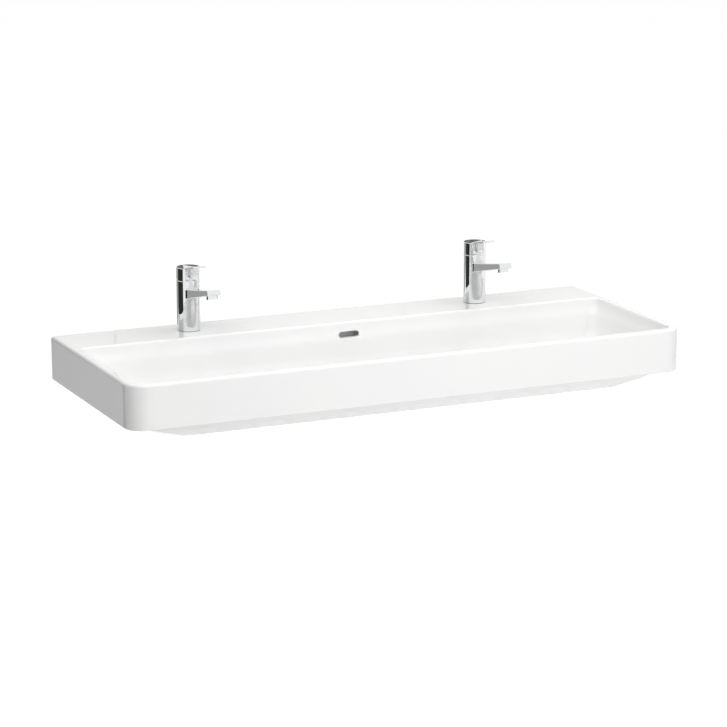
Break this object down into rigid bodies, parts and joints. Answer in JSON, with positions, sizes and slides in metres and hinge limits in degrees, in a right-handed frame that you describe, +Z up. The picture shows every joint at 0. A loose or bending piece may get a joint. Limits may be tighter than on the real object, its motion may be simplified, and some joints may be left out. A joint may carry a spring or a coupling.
{
  "type": "hand basin",
  "caption": "Wide wall-hung ceramic hand basin with a shallow bowl, overflow slot, tap deck with single-lever mixer taps, and a click waste.",
  "frame": {"origin": "on the wall, midway between the inner pair of wall bolts", "axes": "+X to the right seen from the front, along the basin's width; +Y into the wall; +Z up"},
  "size_m": [1.2, 0.465, 0.3026],
  "materials": {
    "glazed_ceramic": "glossy white glaze",
    "chrome": "polished chrome plate",
    "brass": "machined brass",
    "steel": "zinc-plated steel",
    "rubber": "matt black rubber",
    "white_plastic": "moulded white plastic",
    "grey_plastic": "moulded grey plastic",
    "disc_ceramic": "lapped alumina"
  },
  "bodies": {
    "basin": {"basin": "glazed_ceramic", "waste_body": "chrome", "waste_gasket": "rubber", "waste_click_housing": "brass", "waste_lower_gasket": "rubber", "waste_backnut": "brass", "left_tap_body": "chrome", "left_tap_spout": "chrome", "left_tap_aerator_ring": "chrome", "left_tap_aerator_insert": "white_plastic", "left_tap_aerator_washer": "rubber", "left_tap_base_seal": "rubber", "left_tap_mounting_stud": "brass", "left_tap_fixing_gasket": "rubber", "left_tap_fixing_washer": "steel", "left_tap_fixing_nut": "brass", "left_tap_cartridge_seal": "rubber", "left_tap_cartridge_housing": "grey_plastic", "left_tap_fixed_disc": "disc_ceramic", "left_tap_retaining_nut": "brass", "left_tap_dome_ring": "chrome", "right_tap_body": "chrome", "right_tap_spout": "chrome", "right_tap_aerator_ring": "chrome", "right_tap_aerator_insert": "white_plastic", "right_tap_aerator_washer": "rubber", "right_tap_base_seal": "rubber", "right_tap_mounting_stud": "brass", "right_tap_fixing_gasket": "rubber", "right_tap_fixing_washer": "steel", "right_tap_fixing_nut": "brass", "right_tap_cartridge_seal": "rubber", "right_tap_cartridge_housing": "grey_plastic", "right_tap_fixed_disc": "disc_ceramic", "right_tap_retaining_nut": "brass", "right_tap_dome_ring": "chrome"},
    "left_tap_swivel": {"left_tap_carrier": "grey_plastic", "left_tap_pivot_pin": "steel"},
    "left_tap_handle": {"left_tap_stem": "brass", "left_tap_lever": "chrome", "left_tap_grub_screw": "steel", "left_tap_screw_plug": "grey_plastic"},
    "left_tap_disc": {"left_tap_moving_disc": "disc_ceramic"},
    "right_tap_swivel": {"right_tap_carrier": "grey_plastic", "right_tap_pivot_pin": "steel"},
    "right_tap_handle": {"right_tap_stem": "brass", "right_tap_lever": "chrome", "right_tap_grub_screw": "steel", "right_tap_screw_plug": "grey_plastic"},
    "right_tap_disc": {"right_tap_moving_disc": "disc_ceramic"},
    "waste_plug": {"waste_plug": "chrome", "waste_plug_seal": "rubber", "waste_spindle": "brass"}
  },
  "joints": [
    {"name": "left_tap_temperature", "type": "hinge", "parent": "basin", "child": "left_tap_swivel", "pos_m": [-0.325, -0.057, 0.155], "axis": [0, 0, 1], "range_deg": [-45, 45]},
    {"name": "left_tap_lift", "type": "hinge", "parent": "left_tap_swivel", "child": "left_tap_handle", "pos_m": [-0.325, -0.057, 0.155], "axis": [-1, 0, 0], "range_deg": [0, 20]},
    {"name": "left_tap_disc_slide", "type": "slide", "parent": "left_tap_swivel", "child": "left_tap_disc", "axis": [0, -1, 0], "range_m": [0, 0.0025]},
    {"name": "right_tap_temperature", "type": "hinge", "parent": "basin", "child": "right_tap_swivel", "pos_m": [0.325, -0.057, 0.155], "axis": [0, 0, 1], "range_deg": [-45, 45]},
    {"name": "right_tap_lift", "type": "hinge", "parent": "right_tap_swivel", "child": "right_tap_handle", "pos_m": [0.325, -0.057, 0.155], "axis": [-1, 0, 0], "range_deg": [0, 20]},
    {"name": "right_tap_disc_slide", "type": "slide", "parent": "right_tap_swivel", "child": "right_tap_disc", "axis": [0, -1, 0], "range_m": [0, 0.0025]},
    {"name": "waste_plug_slide", "type": "slide", "parent": "basin", "child": "waste_plug", "axis": [0, 0, 1], "range_m": [0, 0.008]}
  ],
  "couplings": [
    {"joint": "left_tap_disc_slide", "follows": "left_tap_lift", "m_per_rad": 0.0069},
    {"joint": "right_tap_disc_slide", "follows": "right_tap_lift", "m_per_rad": 0.0069}
  ]
}
